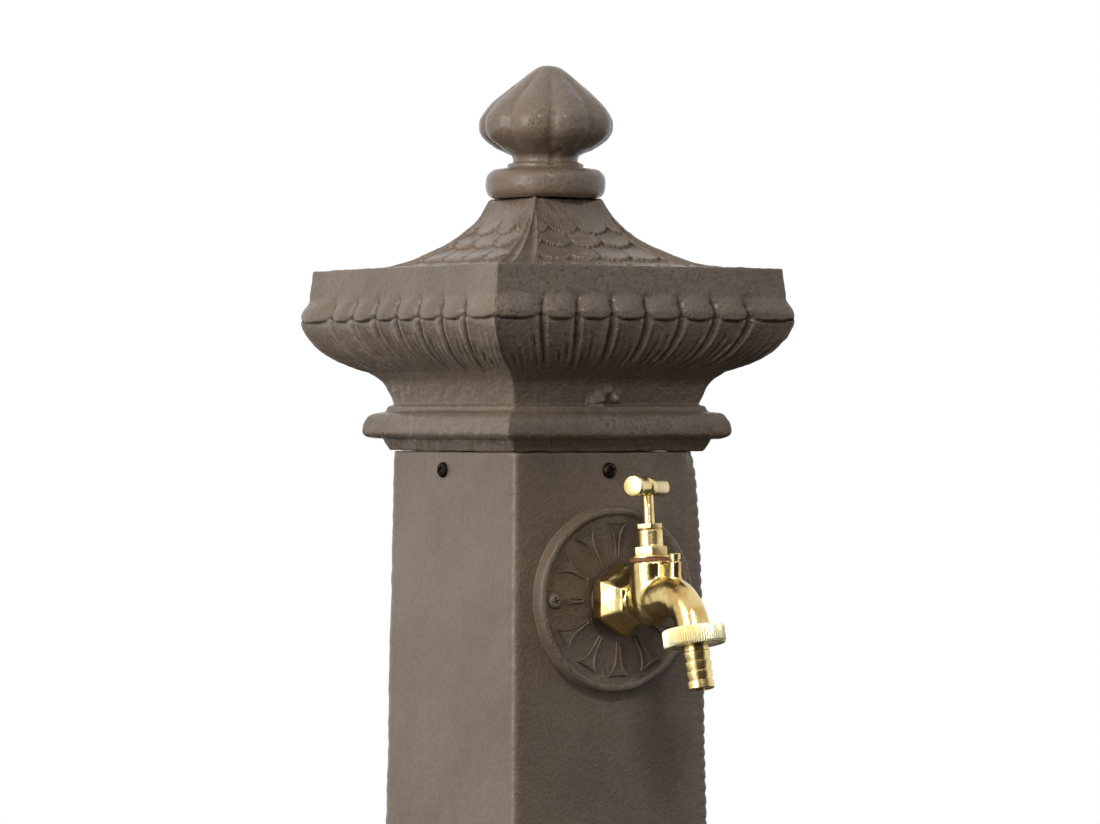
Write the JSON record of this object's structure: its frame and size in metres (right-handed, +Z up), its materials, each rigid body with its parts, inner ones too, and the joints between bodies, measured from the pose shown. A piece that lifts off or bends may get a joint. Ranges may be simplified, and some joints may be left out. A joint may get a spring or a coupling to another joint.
{
  "type": "garden standpipe",
  "caption": "Square tapered cast-iron garden standpipe with gadrooned cap, bud finial and brass bib tap with T handle and hose tail.",
  "frame": {"origin": "centre of the anchor holes in the plane of the plinth underside", "axes": "+Z up the post, -Y out of the face that carries the tap, +X to the right seen from the tap side"},
  "size_m": [0.224, 0.2687, 1],
  "materials": {
    "painted_iron": "satin paint over rough casting",
    "polished_brass": "polished",
    "rough_brass": "as machined",
    "black_steel": "blackened",
    "zinc_steel": "zinc plated",
    "copper": "drawn copper",
    "copper_fibre": "pressed fibre, red brown",
    "rubber_seal": "matt"
  },
  "bodies": {
    "root": {"base_plinth": "painted_iron", "column_shaft": "painted_iron", "cap_casting": "painted_iron", "finial": "painted_iron", "tap_rosette": "painted_iron", "finial_stud": "zinc_steel", "finial_washer": "zinc_steel", "finial_nut": "zinc_steel", "cap_screws": "black_steel", "base_screws": "black_steel", "rosette_screws": "painted_iron", "wall_elbow": "rough_brass", "elbow_screws": "zinc_steel", "riser_pipe": "copper", "supply_fitting": "rough_brass", "supply_locknut": "rough_brass", "inlet_seal": "copper_fibre", "tap_body": "polished_brass", "spout_plug": "polished_brass", "bonnet_gasket": "copper_fibre", "bonnet": "polished_brass", "gland_packing": "rubber_seal", "gland_nut": "polished_brass"},
    "valve": {"jumper_valve": "rough_brass", "tap_washer": "rubber_seal", "washer_nut": "rough_brass"},
    "handle": {"spindle": "polished_brass", "handle_bar": "polished_brass", "handle_pin": "polished_brass"},
    "tail": {"hose_tail": "polished_brass", "outlet_washer": "rubber_seal"},
    "union_nut": {"union_nut": "polished_brass"}
  },
  "joints": [
    {"name": "valve_lift", "type": "slide", "parent": "root", "child": "valve", "axis": [0, 0.0873, 0.9962], "range_m": [0, 0.005]},
    {"name": "handle_turn", "type": "hinge", "parent": "valve", "child": "handle", "pos_m": [0, -0.09668, 0.7704], "axis": [0, 0.0873, 0.9962], "range_deg": [0, 900]},
    {"name": "tail_drop", "type": "slide", "parent": "root", "child": "tail", "axis": [0, -0.2234, -0.9747], "range_m": [0, 0.00453]},
    {"name": "union_nut_turn", "type": "hinge", "parent": "tail", "child": "union_nut", "pos_m": [0, -0.13868, 0.69539], "axis": [0, -0.2234, -0.9747], "range_deg": [0, 900]}
  ],
  "couplings": [
    {"joint": "handle_turn", "follows": "valve_lift", "rad_per_m": 3141.5},
    {"joint": "union_nut_turn", "follows": "tail_drop", "rad_per_m": 3463.7}
  ]
}
